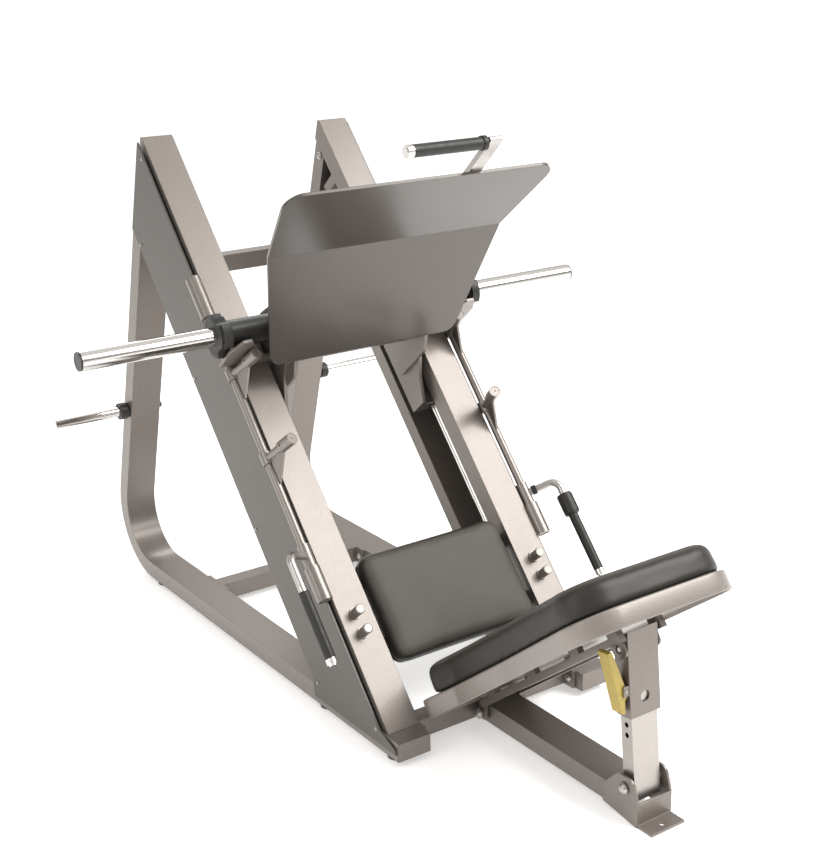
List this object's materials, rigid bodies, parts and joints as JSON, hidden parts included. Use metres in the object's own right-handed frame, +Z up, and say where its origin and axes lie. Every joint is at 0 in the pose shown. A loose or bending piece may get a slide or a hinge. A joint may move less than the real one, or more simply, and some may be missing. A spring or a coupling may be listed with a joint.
{
  "type": "leg press machine",
  "caption": "Plate-loaded leg press: a footplate carriage slides up inclined rails above a padded seat and an adjustable backrest, with swing-away stops.",
  "frame": {"origin": "on the floor, at the middle of the whole machine's box", "axes": "+X to the right of a user lying on the backrest with the rails in front, +Y from the head of the backrest to the rear of the frame, +Z up"},
  "size_m": [1.542, 2.1163, 1.4409],
  "materials": {
    "frame_paint": "silver-grey metallic powder coat under a gloss clear coat",
    "panel_paint": "silver-grey metallic powder coat under a gloss clear coat",
    "footplate_paint": "silver-grey metallic coat, high gloss",
    "tray_paint": "silver-grey metallic moulded shell, satin",
    "stop_paint": "silver-grey metallic powder coat",
    "chrome": "polished hard chrome",
    "handle_metal": "bright nickel plate",
    "zinc": "zinc-plated steel",
    "black_rubber": "satin black rubber",
    "black_paint": "satin black powder coat",
    "grip_rubber": "fine-textured black rubber",
    "black_plastic": "black moulded plastic",
    "vinyl": "dark grey grained vinyl",
    "prop_steel": "bright zinc-plated steel",
    "lever_yellow": "yellow gloss"
  },
  "bodies": {
    "frame": {"left_side_tube": "frame_paint", "right_side_tube": "frame_paint", "tube_end_caps": "frame_paint", "left_rail": "frame_paint", "right_rail": "frame_paint", "left_rail_channel": "frame_paint", "right_rail_channel": "frame_paint", "left_side_plate": "panel_paint", "right_side_plate": "panel_paint", "plate_screws": "zinc", "upper_cross_tube": "frame_paint", "rear_cross_tube": "frame_paint", "front_cross_tube": "frame_paint", "flange_bolts": "zinc", "centre_beam": "frame_paint", "floor_bracket": "frame_paint", "floor_feet": "black_rubber", "guide_rods": "chrome", "guide_rod_mounts": "frame_paint", "storage_horns": "chrome", "storage_collars": "black_rubber", "seat_pad": "vinyl", "seat_board": "black_plastic", "seat_bars": "frame_paint", "rail_pegs": "stop_paint", "stop_bearings": "stop_paint", "pivot_bolts": "zinc"},
    "left_stop": {"left_stop_rod": "stop_paint", "left_stop_arms": "stop_paint", "left_stop_handle": "handle_metal", "left_stop_grip": "grip_rubber", "left_grip_cap": "chrome"},
    "right_stop": {"right_stop_rod": "stop_paint", "right_stop_arms": "stop_paint", "right_stop_handle": "handle_metal", "right_stop_grip": "grip_rubber", "right_grip_cap": "chrome"},
    "carriage": {"carriage_tube": "black_paint", "left_weight_horn": "chrome", "right_weight_horn": "chrome", "horn_caps": "black_plastic", "horn_collars": "black_rubber", "footplate": "footplate_paint", "footplate_ribs": "frame_paint", "carriage_cheeks": "frame_paint", "catch_plates": "frame_paint", "catch_bar": "frame_paint", "linear_bushings": "chrome", "rod_seals": "black_rubber", "top_handle_arm": "handle_metal", "top_handle_grip": "grip_rubber", "top_handle_cap": "chrome"},
    "backrest": {"back_pad": "vinyl", "back_tray": "tray_paint", "back_frame": "frame_paint"},
    "prop": {"prop_tube": "prop_steel"},
    "sleeve": {"prop_sleeve": "frame_paint", "sleeve_pins": "zinc"},
    "lever": {"release_lever": "lever_yellow"},
    "lock_pin": {"lock_pin": "zinc"}
  },
  "joints": [
    {"name": "carriage_slide", "type": "slide", "parent": "frame", "child": "carriage", "axis": [0, 0.6561, 0.7547], "range_m": [0, 0.4]},
    {"name": "left_stop_swing", "type": "hinge", "parent": "frame", "child": "left_stop", "pos_m": [-0.3505, 0.05429, 0.63894], "axis": [0, -0.6561, -0.7547], "range_deg": [0, 90]},
    {"name": "right_stop_swing", "type": "hinge", "parent": "frame", "child": "right_stop", "pos_m": [0.3505, 0.05429, 0.63894], "axis": [0, 0.6561, 0.7547], "range_deg": [0, 90]},
    {"name": "backrest_tilt", "type": "hinge", "parent": "frame", "child": "backrest", "pos_m": [0, -0.45521, 0.042], "axis": [-1, 0, 0], "range_deg": [-8.34, 2.77]},
    {"name": "prop_swing", "type": "hinge", "parent": "frame", "child": "prop", "pos_m": [0, -0.97021, 0.083], "axis": [-1, 0, 0], "range_deg": [-8.9, 3]},
    {"name": "sleeve_slide", "type": "slide", "parent": "prop", "child": "sleeve", "axis": [0, 0.0993, 0.9951], "range_m": [-0.076, 0.026]},
    {"name": "lever_squeeze", "type": "hinge", "parent": "sleeve", "child": "lever", "pos_m": [-0.054, -0.94657, 0.31982], "axis": [0, 0.9951, -0.0993], "range_deg": [0, 5], "stiffness_Nm_per_rad": 1, "springref_deg": -11.46},
    {"name": "lock_pin_slide", "type": "slide", "parent": "sleeve", "child": "lock_pin", "axis": [-1, 0, 0], "range_m": [0, 0.0045]}
  ],
  "couplings": [
    {"joint": "prop_swing", "follows": "backrest_tilt", "ratio": 1.0525},
    {"joint": "sleeve_slide", "follows": "backrest_tilt", "m_per_rad": 0.516},
    {"joint": "lock_pin_slide", "follows": "lever_squeeze", "m_per_rad": 0.04}
  ]
}
